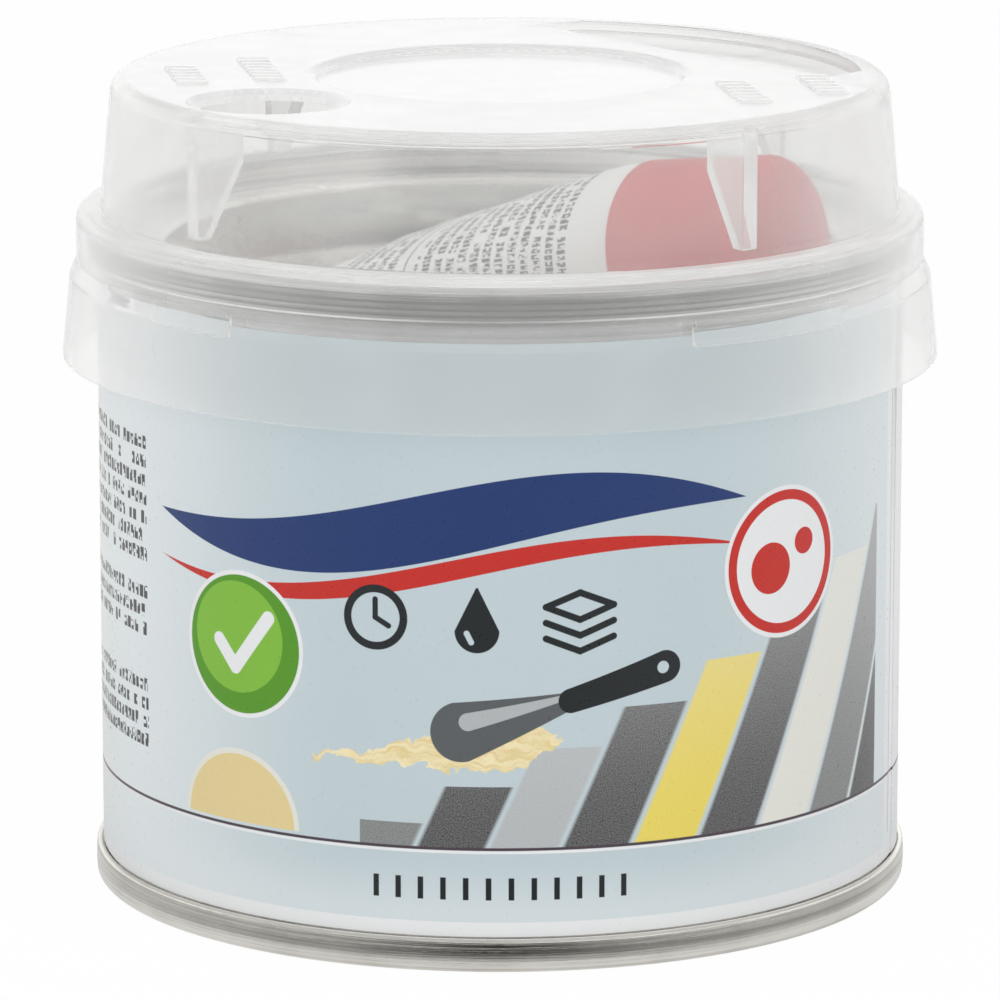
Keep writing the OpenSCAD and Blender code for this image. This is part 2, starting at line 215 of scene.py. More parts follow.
def tinplate(name, rolled_round, bright, dull, relief, satin, marks=(), bands=()):
    """Tin coat on rolled sheet: streaks round or along it, cloudy patches, roll marks and bands of painted
    highlight.
    """
    mat, tree, shader = finish_named(name)
    turn, high, out = round_the_axis(tree, tin_r)
    if rolled_round:
        round_slowly = joined(tree, calc(tree, "MULTIPLY", turn, 0.005), high, out)
        streaks = grain(tree, round_slowly, 1.6, 5, 0.7)
    else:
        streaks = grain(tree, place_on(tree, (14, 420, 420)), 2.2, 5, 0.65)
    cloud = grain(tree, place_on(tree), 180, 4)
    coat = calc(tree, "ADD", calc(tree, "MULTIPLY", streaks, 0.8), calc(tree, "MULTIPLY", cloud, 0.2))
    dulled = spread(tree, coat, 0.42, 0.66)
    if marks:
        dulled = calc(tree, "MAXIMUM", dulled, dulled_by_rolls(tree, high, out, marks))
    coat_now = mixed(tree, dulled, bright, dull)
    shader.inputs["Metallic"].default_value = 1
    # Bands of painted highlight: pale and matt, so that the lamps light them.
    if bands:
        painted_highlight = painted_highlight_bands(tree, turn, high, out, streaks, bands)
        coat_now = mixed(tree, painted_highlight, coat_now, tin_highlight_pale)
        feed(tree, shader.inputs["Metallic"], calc(tree, "SUBTRACT", 1.0, painted_highlight))
    feed(tree, shader.inputs["Base Color"], coat_now)
    wear = calc(tree, "ADD", calc(tree, "MULTIPLY", streaks, 0.1), calc(tree, "MULTIPLY", cloud, 0.06))
    feed(tree, shader.inputs["Roughness"], calc(tree, "ADD", wear, satin))
    bumped(tree, shader, streaks, relief, 0.5)
    return mat


def dress(node, mat):
    """Gives a carried-over piece its finish."""
    cad[node].data.materials.clear()
    cad[node].data.materials.append(mat)


seam_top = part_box("lid_ring")[1].z / MM
seam_marks = [seam_top - drop for drop in (1.3, 1.85, 2.4)]
# Painted highlights: a thin pale line on the lower edge of the upper seam and a band on the wall of the
# ring's mouth.
seam_edge_highlight = ((36.7, 40.0), (seam_top - 2.96, seam_top - 2.8), 0.1, 1.2)
mouth_wall_highlight = ((0.0, 36.2), (seam_top - 3.7, seam_top - 0.3), 0.3, 0.6)
ring_highlights = (seam_edge_highlight, mouth_wall_highlight)
seam_relief, seam_satin = 0.1 * MM, 0.07
bottom_sheet = tinplate("tinplate_bottom", True, tin_warm, tin_warm_dull, seam_relief, seam_satin)
ring_sheet = tinplate(
    "tinplate_ring", True, tin_cool, tin_cool_dull, seam_relief, seam_satin, seam_marks, ring_highlights
)
dress("can_body", ring_sheet)
dress("bottom_end", bottom_sheet)
dress("lid_ring", ring_sheet)

# Sealing compound
# A rubbery lining in the folds of both seams, flowed in as a liquid before the ends are seamed on.
compound_dark, compound_pale = (0.05, 0.05, 0.05, 1), (0.12, 0.12, 0.115, 1)
compound_mat, tree, shader = finish_named("sealing_compound")
speck = grain(tree, place_on(tree), 4000, 3)
feed(tree, shader.inputs["Base Color"], mixed(tree, speck, compound_dark, compound_pale))
shader.inputs["Roughness"].default_value = 0.7
dress("bottom_seam_compound", compound_mat)
dress("top_seam_compound", compound_mat)

# Wrap label
# A printed film that goes once round the body and laps over itself on the right. Its print is a light
# blue ground with plain shapes, fine rows on the left and round the back, and a white foot.
label_low, label_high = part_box("label_wrap")
label_r = label_high.x / MM
label_foot = label_low.z / MM
label_top = label_high.z / MM
ink_edge = 0.06


def paint(red, green, blue):
    """A colour as it is seen, as light values."""
    shares = [level / 255 for level in (red, green, blue)]
    return tuple(s / 12.92 if s < 0.04 else ((s + 0.055) / 1.055) ** 2.4 for s in shares) + (1,)


label_blue = paint(191, 205, 210)
label_pale = paint(226, 232, 234)
label_white = paint(232, 233, 234)
ink_black = paint(38, 42, 44)
ink_grey = paint(92, 96, 98)
ink_navy = paint(34, 58, 112)
ink_red = paint(196, 44, 36)
ink_green = paint(86, 150, 34)
ink_leaf = paint(128, 186, 60)
ink_ochre = paint(226, 206, 150)
ink_sand = paint(240, 226, 184)
ink_yellow = paint(232, 210, 70)
ink_coal = paint(66, 66, 66)
ink_ash = paint(122, 124, 124)
ink_smoke = paint(176, 180, 182)
ink_cream = paint(226, 226, 216)
ink_plum = paint(78, 66, 74)

label_mat, tree, shader = finish_named("printed_label")
across, up = round_the_axis(tree, label_r)[:2]
flat = joined(tree, across, up)


def inside(tree, distance):
    """Ink where a distance to an outline is below zero, with a crisp edge."""
    return calc(tree, "MULTIPLY_ADD", distance, -1 / ink_edge, 0.5, clamp=True)


def above(tree, value, low):
    """Ink where a value is over a limit."""
    return inside(tree, calc(tree, "SUBTRACT", low, value))


def below(tree, value, high):
    """Ink where a value is under a limit."""
    return inside(tree, calc(tree, "SUBTRACT", value, high))


def between(tree, value, low, high):
    """Ink where a value lies between two limits."""
    middle = calc(tree, "ABSOLUTE", calc(tree, "SUBTRACT", value, (low + high) / 2))
    return below(tree, middle, (high - low) / 2)


def disc(tree, at, radius):
    """Ink within a circle on the label."""
    return below(tree, vector_calc(tree, "DISTANCE", flat, (*at, 0)), radius)


def stroke(tree, start, end, width, end_width=None):
    """A line on the label with round ends that may change its width on the way."""
    run = Vector(end) - Vector(start)
    off = vector_calc(tree, "SUBTRACT", flat, (*start, 0))
    along = vector_calc(tree, "DOT_PRODUCT", off, (*(run / run.length_squared), 0))
    along = calc(tree, "ADD", along, 0.0, clamp=True)
    near = vector_calc(tree, "MULTIPLY", joined(tree, along, along), (*run, 0))
    grown = (width if end_width is None else end_width) - width
    half = calc(tree, "MULTIPLY_ADD", along, grown / 2, width / 2)
    return below(tree, vector_calc(tree, "DISTANCE", off, near), half)


def split(tree, value):
    """The whole number in a value, and what is left."""
    whole = calc(tree, "FLOOR", value)
    return whole, calc(tree, "SUBTRACT", value, whole)


def by_chance(tree, first, second):
    """Random numbers for a pair of whole numbers: one alone, and three more."""
    node = tree.nodes.new("ShaderNodeTexWhiteNoise")
    node.noise_dimensions = "2D"
    feed(tree, node.inputs["Vector"], joined(tree, first, second))
    return node.outputs["Value"], node.outputs["Color"]


def fine_rows(tree, around, height, pitch, letter):
    """Rows of small marks in groups, like print that is too small to read."""
    row_shift, dots_wide, dots_tall = 0.37, 3.0, 5.0
    gaps_share, bare_share = 0.12, 0.2
    row = calc(tree, "DIVIDE", height, pitch)
    line, part = split(tree, row)
    cell = calc(tree, "ADD", calc(tree, "DIVIDE", around, letter), calc(tree, "MULTIPLY", line, row_shift))
    cell_no, cell_part = split(tree, cell)
    luck, shape = by_chance(tree, cell_no, line)
    tall, wide = parted(tree, shape)[:2]
    top = calc(tree, "MULTIPLY_ADD", tall, 0.2, 0.7)
    side = calc(tree, "MULTIPLY_ADD", wide, 0.2, 0.72)
    body = within(
        tree,
        spread(tree, part, 0.16, 0.22),
        spread(tree, calc(tree, "SUBTRACT", part, top), 0.03, -0.03),
        spread(tree, cell_part, 0.04, 0.1),
        spread(tree, calc(tree, "SUBTRACT", cell_part, side), 0.03, -0.03),
    )
    dot_column = calc(tree, "FLOOR", calc(tree, "MULTIPLY", cell, dots_wide))
    dot_row = calc(tree, "FLOOR", calc(tree, "MULTIPLY", row, dots_tall))
    dots = by_chance(tree, dot_column, dot_row)[0]
    inked = spread(tree, dots, bare_share, bare_share + 0.02)
    return within(tree, body, inked, spread(tree, luck, gaps_share, gaps_share + 0.01))


def over(tree, ground, mask, ink):
    """Ink over a ground where a mask has ink."""
    return mixed(tree, mask, ground, ink)


def strokes(tree, ground, at, lines, ink):
    """The lines of one sign over a ground, each with its start, end and widths."""
    for start, end, *widths in lines:
        ends = [(at[0] + p[0], at[1] + p[1]) for p in (start, end)]
        ground = over(tree, ground, stroke(tree, *ends, *widths), ink)
    return ground


rule_z = 11.0
foot_z = label_foot + 1.3
front_left, front_right, back_right = -39.0, 43.0, 46.0

# Ground: blue in the middle, pale at both ends, and a white panel round the back
pale_right = spread(tree, across, 14.0, back_right, 0.0, 0.75)
tone = calc(tree, "SUBTRACT", spread(tree, across, front_left - 4, -12.0), pale_right)
print_now = mixed(tree, tone, label_pale, label_blue)
left_of_front = spread(tree, across, front_left - 9, front_left - 10)
right_of_front = spread(tree, across, back_right, back_right + 0.1)
back = calc(tree, "MAXIMUM", left_of_front, right_of_front)
print_now = over(tree, print_now, back, label_white)

# Rising slanted bars at the lower right
bar_pitch, bar_step, bars_from = 6.4, 3.4, -14.0
bar_lean = math.tan(math.radians(24))
bars_at = calc(tree, "MULTIPLY_ADD", calc(tree, "SUBTRACT", up, rule_z), -bar_lean, across)
bar_no, bar_part = split(tree, calc(tree, "DIVIDE", calc(tree, "ADD", bars_at, -bars_from), bar_pitch))
bar_top = calc(tree, "MULTIPLY_ADD", bar_no, bar_step, rule_z + 2.2)
bar_mask = within(
    tree,
    between(tree, bar_part, 0.05, 0.97),
    below(tree, up, bar_top),
    above(tree, up, rule_z),
    between(tree, across, -12.5, front_right),
)
ramp = tree.nodes.new("ShaderNodeValToRGB")
ramp.color_ramp.interpolation = "CONSTANT"
bar_inks = (ink_ash, ink_coal, ink_smoke, ink_coal, ink_yellow, ink_coal, ink_cream, ink_ash, ink_coal)
while len(ramp.color_ramp.elements) < len(bar_inks):
    ramp.color_ramp.elements.new(0.5)
for k, ink in enumerate(bar_inks):
    ramp.color_ramp.elements[k].position = k / len(bar_inks)
    ramp.color_ramp.elements[k].color = ink
feed(tree, ramp.inputs[0], calc(tree, "DIVIDE", calc(tree, "ADD", bar_no, 0.5), float(len(bar_inks))))
screen = grain(tree, flat, 9.0, 1.0)
bar_rise = calc(tree, "MULTIPLY", spread(tree, up, rule_z, 40.0), 0.28)
bar_light = calc(tree, "ADD", spread(tree, screen, 0.35, 0.65, 0.0, 0.16), bar_rise)
bar_ink = mixed(tree, bar_light, ramp.outputs[0], label_white)
print_now = over(tree, print_now, bar_mask, bar_ink)

# Rule above the foot, dark over white, and the white foot
print_now = over(tree, print_now, between(tree, up, rule_z - 0.42, rule_z - 0.16), label_white)
print_now = over(tree, print_now, between(tree, up, rule_z - 0.14, rule_z + 0.12), ink_plum)
foot_pale = spread(tree, up, rule_z - 0.5, foot_z, 0.0, 0.55)
print_now = mixed(tree, foot_pale, print_now, label_pale)
print_now = over(tree, print_now, below(tree, up, foot_z), label_white)

# Swelling wave of blue and red under the cap's skirt
wave_mid, wave_half, wave_z, wave_rise = -6.0, 29.0, 39.6, 2.6
swing = calc(tree, "DIVIDE", calc(tree, "SUBTRACT", across, wave_mid), wave_half)
wave = calc(tree, "MULTIPLY_ADD", calc(tree, "SINE", calc(tree, "MULTIPLY", swing, 2.6)), wave_rise, wave_z)
full = calc(tree, "SUBTRACT", 1.0, calc(tree, "MULTIPLY", swing, swing))
for offset, thick, ink in ((0.0, 3.0, ink_navy), (-4.2, 0.9, ink_red)):
    lift = calc(tree, "ABSOLUTE", calc(tree, "SUBTRACT", calc(tree, "ADD", wave, offset), up))
    swell = inside(tree, calc(tree, "MULTIPLY_ADD", full, -thick, lift))
    print_now = over(tree, print_now, swell, ink)

# Green roundel with a tick
tick_at = (-24.5, 27.5)
tick_glow_at = (tick_at[0] - 0.5, tick_at[1] + 0.6)
tick_low = (-0.7, -2.1)
for radius, ink in ((6.6, label_white), (6.2, ink_green)):
    print_now = over(tree, print_now, disc(tree, tick_at, radius), ink)
print_now = over(tree, print_now, disc(tree, tick_glow_at, 5.0), ink_leaf)
tick = (((-2.6, 0.1), tick_low, 1.3), (tick_low, (3.0, 2.7), 1.3))
print_now = strokes(tree, print_now, tick_at, tick, label_white)

# Filling knife over a stroke of paste, in the middle
smear_left, smear_right, smear_z = -17.0, 7.0, 20.2
ragged = calc(tree, "MULTIPLY_ADD", grain(tree, flat, 0.5, 3.0), 3.0, -1.5)
paste_at = calc(tree, "ADD", up, ragged)
paste_rise = calc(tree, "MULTIPLY_ADD", across, -0.1, calc(tree, "SUBTRACT", paste_at, smear_z))
paste_grows = spread(tree, across, smear_left, 2.0, 0.2, 2.2)
paste_ends = spread(tree, across, 1.0, smear_right, 0.0, 2.6)
paste_thick = calc(tree, "SUBTRACT", paste_grows, paste_ends)
smear = below(tree, calc(tree, "ABSOLUTE", paste_rise), paste_thick)
smear = within(tree, smear, between(tree, across, smear_left, smear_right))
drawn = joined(tree, calc(tree, "MULTIPLY", across, 0.12), paste_at)
paste_lines = spread(tree, grain(tree, drawn, 2.6, 2.0), 0.35, 0.65)
print_now = over(tree, print_now, smear, mixed(tree, paste_lines, ink_ochre, ink_sand))
knife_at = (-3.0, 21.0)
knife_hole_at = (knife_at[0] + 17.6, knife_at[1] + 5.65)
knife_lines = (
    ((8.8, 3.1), (-0.4, 0.5), 1.7, 5.4, ink_grey),
    ((8.6, 3.5), (0.2, 1.4), 0.5, 1.6, ink_smoke),
    ((17.8, 5.7), (9.2, 3.2), 2.9, 2.2, ink_black),
)
for *line, ink in knife_lines:
    print_now = strokes(tree, print_now, knife_at, (line,), ink)
print_now = over(tree, print_now, disc(tree, knife_hole_at, 0.55), label_blue)

# Three small signs above it: a clock, a drop and a pile of sheets
signs_z = 31.4
clock_at, drop_at, sheets_at = (-11.0, signs_z), (-2.0, signs_z), (7.0, signs_z)
sheet_line, sheet_half, sheet_deep, top_sheet = 0.6, 3.0, 1.2, 1.2
print_now = over(tree, print_now, disc(tree, clock_at, 2.9), ink_black)
print_now = over(tree, print_now, disc(tree, clock_at, 2.2), label_blue)
clock_hands = (((0, 0), (0, 1.6), 0.5), ((0, 0), (1.2, -0.7), 0.5))
print_now = strokes(tree, print_now, clock_at, clock_hands, ink_black)
print_now = strokes(tree, print_now, drop_at, (((0, -0.9), (0, 2.8), 3.9, 0.3),), ink_black)
print_now = strokes(tree, print_now, drop_at, (((-0.9, -1.1), (-0.5, -1.9), 0.5),), label_blue)
for level, deep in ((top_sheet, -1), (-0.2, -1), (-1.6, -1), (top_sheet, 1)):
    corner = (0, level + deep * sheet_deep)
    sides = (((-sheet_half, level), corner, sheet_line), (corner, (sheet_half, level), sheet_line))
    print_now = strokes(tree, print_now, sheets_at, sides, ink_black)

# White roundel with a red rim and two dots, large and small
pair_at = (27.5, 34.5)
pair_large_at, pair_small_at = (pair_at[0] - 1.6, pair_at[1] - 0.4), (pair_at[0] + 2.5, pair_at[1] + 1.5)
for radius, ink in ((6.8, label_white), (6.4, ink_red), (5.5, label_white)):
    print_now = over(tree, print_now, disc(tree, pair_at, radius), ink)
print_now = over(tree, print_now, disc(tree, pair_large_at, 2.3), ink_red)
print_now = over(tree, print_now, disc(tree, pair_small_at, 1.2), ink_red)

# Ochre half disc that stands on the rule, with a pale rim
sun_at = (-25.0, rule_z + 0.4)
for radius, ink in ((6.6, ink_cream), (6.1, ink_ochre)):
    half_disc = within(tree, disc(tree, sun_at, radius), above(tree, up, sun_at[1]))
    print_now = over(tree, print_now, half_disc, ink)

# Short scale marks in the foot and fine rows on the left and round the back
scale_half, scale_pitch = 12.0, 2.0
mark = calc(tree, "MODULO", calc(tree, "ADD", across, 50 * scale_pitch), scale_pitch)
marks = within(
    tree,
    between(tree, mark, 0.75, 1.25),
    between(tree, across, -scale_half, scale_half),
    between(tree, up, 6.4, 8.4),
)
print_now = over(tree, print_now, marks, ink_black)


def text_block(tree, ground, rows, sides, heights, ink):
    """Fine rows over a ground, between two sides and two heights."""
    block = within(tree, rows, between(tree, across, *sides), between(tree, up, *heights))
    return over(tree, ground, block, ink)


left_rows = fine_rows(tree, across, up, 1.7, 0.85)
left_sides = (front_left - 18, front_left + 1.2)
for heights in ((15.0, 21.9), (25.4, 30.4), (32.2, 44.0)):
    print_now = text_block(tree, print_now, left_rows, left_sides, heights, ink_coal)
back_rows = fine_rows(tree, across, up, 1.25, 0.75)
back_blocks = (((-112, -88), (13, 50)), ((-85, -62), (13, 42)), ((60, 82), (13, 50)), ((85, 111), (16, 46)))
for sides, heights in back_blocks:
    print_now = text_block(tree, print_now, back_rows, sides, heights, ink_grey)

# Cut line down the lap
lap_line = back_right + 1.6
cut = within(
    tree,
    between(tree, across, lap_line, lap_line + 0.25),
    between(tree, up, foot_z + 1, label_top - 2),
)
print_now = over(tree, print_now, cut, ink_smoke)

feed(tree, shader.inputs["Base Color"], print_now)
fibre = grain(tree, place_on(tree), 2500, 3)
feed(tree, shader.inputs["Roughness"], spread(tree, fibre, 0.2, 0.8, 0.26, 0.38))
bumped(tree, shader, grain(tree, place_on(tree), 300, 2), 0.02 * MM, 0.15)
dress("label_wrap", label_mat)

# Filler
# A stiff ochre paste that fills the lower part of the tin. Its top keeps the soft spiral ridge
# that the filling nozzle leaves.
paste_low, paste_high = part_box("filler_paste")
paste_r = paste_high.x
paste_dip, paste_lift = 1.6 * MM, 1.3 * MM
paste_turns, paste_level, paste_ridge = 4.5, 0.35, 0.3
paste_rings, paste_sides = 60, 120
paste_mesh = bmesh.new()


def paste_height(radius, turn):
    """Height of the paste's top: a spiral ridge that is low at the edge and in the middle."""
    share = radius / paste_r
    ridge = math.sin(2 * math.pi * (share * paste_turns) - turn)
    edge = 1 - share**6
    middle = min(1, share * 5)
    return paste_high.z - paste_dip + paste_dip * (paste_level + paste_ridge * ridge * edge * middle)


def full_turn(sides):
    """The angles of equal steps once round."""
    return [2 * math.pi * k / sides for k in range(sides)]


summit = paste_mesh.verts.new((0, 0, paste_height(0, 0)))
rings = []
for i in range(1, paste_rings + 1):
    radius = paste_r * i / paste_rings
    ring = []
    for t in full_turn(paste_sides):
        point = (radius * math.cos(t), radius * math.sin(t), paste_height(radius, t))
        ring.append(paste_mesh.verts.new(point))
    rings.append(ring)
under_z = paste_low.z + paste_lift
rings.append([paste_mesh.verts.new((v.co.x, v.co.y, under_z)) for v in rings[-1]])
for k in range(paste_sides):
    paste_mesh.faces.new((summit, rings[0][k], rings[0][(k + 1) % paste_sides]))
for low, high in zip(rings, rings[1:]):
    for k in range(paste_sides):
        n = (k + 1) % paste_sides
        paste_mesh.faces.new((low[k], high[k], high[n], low[n]))
paste_mesh.faces.new(rings[-1][::-1])

scene = bpy.context.scene


def made_piece(name, built, mat, body, slot, *stands_for):
    """Turns a built mesh into a smooth piece that rides on a body."""
    bmesh.ops.recalc_face_normals(built, faces=built.faces)
    mesh = bpy.data.meshes.new(name)
    built.to_mesh(mesh)
    built.free()
    mesh.materials.append(mat)
    mesh.shade_smooth()
    mesh.set_sharp_from_angle(angle=math.radians(40))
    piece = bpy.data.objects.new(name, mesh)
    scene.collection.objects.link(piece)
    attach(piece, body)
    if stands_for:
        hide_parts(*stands_for)


paste_mat, tree, shader = finish_named("ochre_paste")
lumps = grain(tree, place_on(tree), 700, 4)
feed(tree, shader.inputs["Base Color"], mixed(tree, lumps, paint(206, 182, 128), paint(222, 202, 152)))
feed(tree, shader.inputs["Roughness"], spread(tree, lumps, 0.3, 0.7, 0.35, 0.55))
shader.inputs["Subsurface Weight"].default_value = 0.1
shader.inputs["Subsurface Radius"].default_value = (2.0 * MM, 1.2 * MM, 0.6 * MM)
bumped(tree, shader, lumps, 0.1 * MM, 0.6)
made_piece("filler_swirl", paste_mesh, paste_mat, "tin", "filler", "filler_paste")

# Lever lid
# A pressed plug of the same tinplate, pushed into the ring's mouth and levered out by its flange.
# Its sheet is more satin, and pale painted highlights lie on its flange, panel and the foot of its wall.
lid_bright, lid_dull = (0.95, 0.94, 0.91, 1), (0.85, 0.84, 0.815, 1)
lid_relief, lid_satin = 0.06 * MM, 0.18
lid_radii = (0.0, 40.0)
# Painted highlights on the lid's panel with the foot of its wall, and on its flange.
lid_foot_highlight = (lid_radii, (seam_top - 20.7, seam_top - 8.2), 0.8, 0.85)
lid_flange_highlight = (lid_radii, (seam_top - 2.2, seam_top + 1.3), 0.2, 0.5)
lid_sheet = tinplate(
    "tinplate_lid", False, lid_bright, lid_dull, lid_relief, lid_satin, bands=(lid_foot_highlight, lid_flange_highlight)
)
dress("lever_lid", lid_sheet)

# Hardener tube
# A squeezed tube of white laminate, welded flat at its tail and moulded onto a shoulder at the
# other end. Fine print runs round it in rows, with a plain band next to the screw cap.
turn_joint = next(j for j in frame["joints"] if j["name"] == "tube_cap_turn")
neck = Vector(turn_joint["pos_m"])
axis = Vector(turn_joint["axis"])
ahead = Vector((axis.x, axis.y, 0)).normalized()
side = Vector((0, 0, 1)).cross(ahead)
tilt = math.asin(axis.z)
sleeve_points = [v.co.copy() for v in cad["tube_sleeve"].data.vertices]
tube_len = -min((p - neck).dot(ahead) for p in sleeve_points)
tail = [p for p in sleeve_points if (p - neck).dot(ahead) < -tube_len + 0.02 * MM]
tail_mid = sum(tail, Vector()) / len(tail)
tail_wide = max(tail, key=lambda p: (p - tail_mid).dot(side)) - tail_mid
tail_roll = math.atan2(tail_wide.z, tail_wide.dot(side))
tube_r = max((p - neck).dot(side) for p in sleeve_points if (p - neck).dot(ahead) > -2 * MM)
tail_half = 0.5 * MM
round_share, flatten_power, spread_power = 0.08, 0.8, 1.7
dent_deep = 0.1 * MM
crimp_share, crimp_deep, crimp_pitch = 0.86, 0.12 * MM, 1.1 * MM
tube_rings, tube_sides = 120, 96


def tube_point(u, t):
    """A point of the tube's skin at a share of its length and at a turn round it."""
    w = max(0, u - round_share) / (1 - round_share)
    rise = min(tube_r, tube_r * (1 - w) ** flatten_power + tail_half * w)
    wide = tube_r * (math.pi / 2 - (math.pi / 2 - 1) * (rise / tube_r) ** spread_power)
    y, z = wide * math.cos(t), rise * math.sin(t)
    lean, roll = tilt * (1 - u), tail_roll * u
    relief = dent_deep * math.sin(9 * u + 2 * math.cos(t)) * math.sin(math.pi * u) ** 2 * math.sin(t)
    if u > crimp_share:
        relief += crimp_deep * math.sin(2 * math.pi * (u - crimp_share) * tube_len / crimp_pitch)
    middle = neck + (tail_mid - neck) * u
    return (
        middle
        - ahead * z * math.sin(lean)
        + side * (y * math.cos(roll) - z * math.sin(roll))
        + Vector((0, 0, z * math.cos(lean) * math.cos(roll) + y * math.sin(roll) + relief))
    )


sleeve = bmesh.new()
print_map = sleeve.loops.layers.uv.new("print_mm")
tube_grid = []
for i in range(tube_rings + 1):
    tube_grid.append([sleeve.verts.new(tube_point(i / tube_rings, t)) for t in full_turn(tube_sides)])
for i in range(tube_rings):
    for k in range(tube_sides):
        n = (k + 1) % tube_sides
        face = sleeve.faces.new((tube_grid[i][k], tube_grid[i][n], tube_grid[i + 1][n], tube_grid[i + 1][k]))
        for loop, (row, turn) in zip(face.loops, ((i, k), (i, k + 1), (i + 1, k + 1), (i + 1, k))):
            round_mm = 2 * math.pi * tube_r / MM * turn / tube_sides
            loop[print_map].uv = (round_mm, row / tube_rings * tube_len / MM)
sleeve.faces.new(tube_grid[0][::-1])
sleeve.faces.new(tube_grid[-1])

tube_white, tube_ink, tube_rule = paint(238, 238, 236), paint(58, 60, 64), paint(110, 112, 114)
band_end, rule_at, rule_wide = 4.2, 21.0, 0.2
row_pitch, letter_wide = 1.27, 0.6
tube_mat, tree, shader = finish_named("printed_laminate")
print_place = tree.nodes.new("ShaderNodeUVMap")
print_place.uv_map = "print_mm"
tube_round, tube_along = parted(tree, print_place.outputs[0])[:2]
from_band = calc(tree, "SUBTRACT", tube_along, band_end)
tube_rows = fine_rows(tree, tube_round, from_band, row_pitch, letter_wide)
blank = between(tree, tube_along, rule_at - 1.0, rule_at + 1.2)
tube_rows = within(tree, tube_rows, above(tree, from_band, 0.0), calc(tree, "SUBTRACT", 1.0, blank))
tube_print = over(tree, tube_white, tube_rows, tube_ink)
tube_print = over(tree, tube_print, between(tree, tube_along, rule_at, rule_at + rule_wide), tube_rule)
feed(tree, shader.inputs["Base Color"], tube_print)
film = grain(tree, place_on(tree), 900, 3)
feed(tree, shader.inputs["Roughness"], spread(tree, film, 0.2, 0.8, 0.28, 0.42))
bumped(tree, shader, film, 0.03 * MM, 0.4)
made_piece("tube_sleeve_skin", sleeve, tube_mat, "tube", "tube_laminate", "tube_sleeve")

# Tube shoulder and nozzle
# Natural polyethylene, moulded with the nozzle in one piece and welded to the sleeve.
natural_mat, tree, shader = finish_named("natural_plastic")
cloud = grain(tree, place_on(tree), 500, 2)
feed(tree, shader.inputs["Base Color"], mixed(tree, cloud, paint(224, 222, 212), paint(236, 235, 228)))
shader.inputs["Roughness"].default_value = 0.4
shader.inputs["Subsurface Weight"].default_value = 0.3
shader.inputs["Subsurface Radius"].default_value = (2.0 * MM, 2.0 * MM, 1.8 * MM)
dress("tube_shoulder", natural_mat)

# Nozzle membrane
# A disc of aluminium foil, sealed over the nozzle until it is pierced.
foil_grey, foil_bright = (0.72, 0.72, 0.73, 1), (0.86, 0.86, 0.87, 1)
foil_mat, tree, shader = finish_named("sealing_foil")
crease = grain(tree, place_on(tree), 1500, 4)
feed(tree, shader.inputs["Base Color"], mixed(tree, crease, foil_grey, foil_bright))
shader.inputs["Metallic"].default_value = 1
feed(tree, shader.inputs["Roughness"], spread(tree, crease, 0.3, 0.7, 0.2, 0.4))
bumped(tree, shader, crease, 0.05 * MM, 0.6)
dress("nozzle_membrane", foil_mat)

# Hardener
# Red peroxide paste that fills the sleeve behind the shoulder.
hardener_mat, tree, shader = finish_named("hardener_paste")
stir = grain(tree, place_on(tree, (1, 1, 3)), 400, 4)
feed(tree, shader.inputs["Base Color"], mixed(tree, stir, paint(150, 24, 26), paint(176, 40, 38)))
feed(tree, shader.inputs["Roughness"], spread(tree, stir, 0.3, 0.7, 0.3, 0.5))
dress("hardener_paste", hardener_mat)

# Screw cap of the tube
# Red polypropylene, moulded smooth with a rounded end and a fine spark-eroded matt.
cap_red, tree, shader = finish_named("red_plastic")
matt = grain(tree, place_on(tree), 6000, 3)
tint = grain(tree, place_on(tree), 120, 2)
feed(tree, shader.inputs["Base Color"], mixed(tree, tint, paint(190, 34, 36), paint(206, 50, 48)))
feed(tree, shader.inputs["Roughness"], spread(tree, matt, 0.25, 0.75, 0.36, 0.52))
shader.inputs["Subsurface Weight"].default_value = 0.12
shader.inputs["Subsurface Radius"].default_value = (3.0 * MM, 0.6 * MM, 0.5 * MM)
bumped(tree, shader, matt, 0.02 * MM, 0.1)
dress("tube_cap", cap_red)

# Mixing cap
# Clear polypropylene, moulded in one piece and pushed on over the upper seam. It is a little cloudy,
# more so at a slant and in its ribs and lugs, and lamps and soft light pass through it.
mix_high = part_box("mixing_cap")[1]
cap_top = mix_high.z / MM
shoulder_z = seam_top + 0.3
plate_r, rib_r, lug_r = 33.4, 33.8, 37.7
pocket_turn, pocket_from = math.radians(39), 21.0
plastic_ior, pocket_ior = 1.49, 1.1
clear_mat, tree, shader = finish_named("clear_plastic")
high, out = round_the_axis(tree, tin_r)[1:]
flow = grain(tree, place_on(tree, (1, 1, 0.4)), 90, 2)

# Zones of the moulding: its top plate, pocket, ribs, lugs and shoulder
top_height = spread(tree, high, cap_top - 2.2, cap_top - 0.9)
top_zone = within(tree, top_height, spread(tree, out, plate_r + 0.8, plate_r))
pocket_way = (math.cos(pocket_turn), math.sin(pocket_turn), 0)
to_pocket = vector_calc(tree, "DOT_PRODUCT", place_in_mm(tree), pocket_way)
pocket_zone = within(tree, top_height, spread(tree, to_pocket, pocket_from - 1.5, pocket_from))
rib_zone = within(
    tree,
    spread(tree, out, rib_r + 0.2, rib_r),
    spread(tree, high, cap_top - 1.0, cap_top - 1.4),
    spread(tree, high, shoulder_z, shoulder_z + 0.5),
)
lug_zone = within(
    tree,
    spread(tree, out, lug_r + 0.15, lug_r),
    spread(tree, high, shoulder_z - 3.4, shoulder_z - 3.6),
)
shoulder_low, shoulder_high = (shoulder_z - 0.8, shoulder_z + 0.2), (shoulder_z + 1.6, shoulder_z + 1.0)
shoulder_zone = within(tree, spread(tree, high, *shoulder_low), spread(tree, high, *shoulder_high))

